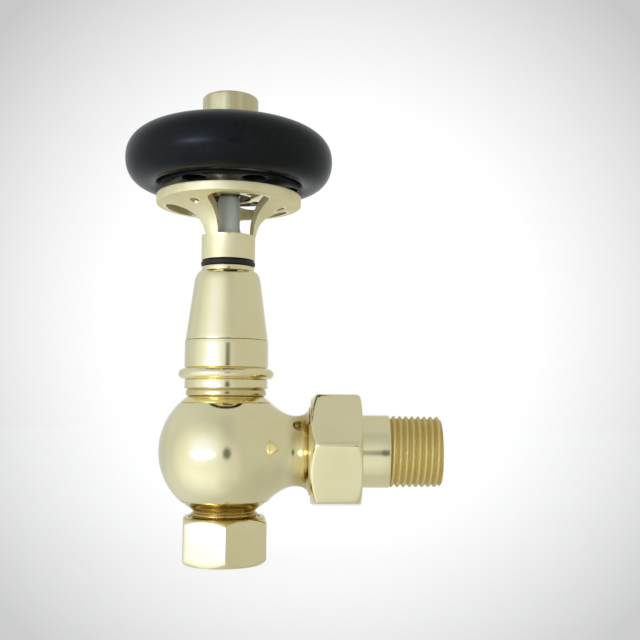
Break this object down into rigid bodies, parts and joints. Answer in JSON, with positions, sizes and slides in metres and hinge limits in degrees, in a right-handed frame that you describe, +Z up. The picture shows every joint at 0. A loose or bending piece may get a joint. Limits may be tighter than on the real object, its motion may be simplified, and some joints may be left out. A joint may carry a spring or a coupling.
{
  "type": "radiator valve",
  "caption": "Angled radiator valve in polished brass with a round black handwheel on an open three-armed yoke, a pipe nut below and a threaded tail at the side.",
  "frame": {"origin": "centre of the pipe inlet, on the bottom face of the compression nut", "axes": "+Z up the stem towards the handwheel, +X along the side branch towards the radiator tail"},
  "size_m": [0.0946, 0.0624, 0.1394],
  "materials": {
    "polished_brass": "polished",
    "plain_brass": "machined",
    "satin_brass": "satin",
    "steel": "drawn",
    "dark_steel": "blackened",
    "seal_rubber": "moulded",
    "grey_plastic": "moulded, matt",
    "black_wheel": "gloss",
    "black_plate": "moulded, satin"
  },
  "bodies": {
    "valve": {"valve_body": "polished_brass", "compression_nut": "polished_brass", "olive": "plain_brass", "union_nut": "polished_brass", "tailpiece": "plain_brass", "union_seal": "seal_rubber", "bonnet": "polished_brass", "insert_body": "plain_brass", "insert_o_ring": "seal_rubber", "gland_nut": "plain_brass", "gland_o_ring": "seal_rubber", "neck_adapter": "polished_brass", "skirt": "polished_brass", "neck_o_ring": "seal_rubber", "yoke": "polished_brass", "stop_pin": "steel", "snap_ring": "dark_steel", "return_spring": "steel"},
    "wheel": {"handwheel": "black_wheel", "wheel_base_plate": "black_plate", "hub_ring": "plain_brass", "wheel_cap": "satin_brass"},
    "carrier": {"sensor_carrier": "plain_brass", "sensor_capsule": "steel", "overtravel_spring": "steel", "spring_retainer": "plain_brass"},
    "stem": {"push_rod": "grey_plastic", "sensor_ram": "steel", "insert_pin": "steel", "spring_collar": "plain_brass", "disc_holder": "plain_brass", "sealing_disc": "seal_rubber"}
  },
  "joints": [
    {"name": "wheel_turn", "type": "hinge", "parent": "valve", "child": "wheel", "pos_m": [0, 0, 0.1193], "axis": [0, 0, 1], "range_deg": [-308, 0]},
    {"name": "setting_slide", "type": "slide", "parent": "valve", "child": "carrier", "axis": [0, 0, 1], "range_m": [-0.00249, 0]},
    {"name": "thermal_slide", "type": "slide", "parent": "carrier", "child": "stem", "axis": [0, 0, 1], "range_m": [-0.0008, 0], "stiffness_N_per_m": 2000, "springref_m": 0.0005, "deforming": ["return_spring"]}
  ],
  "couplings": [
    {"joint": "setting_slide", "follows": "wheel_turn", "m_per_rad": 0.00046155}
  ]
}
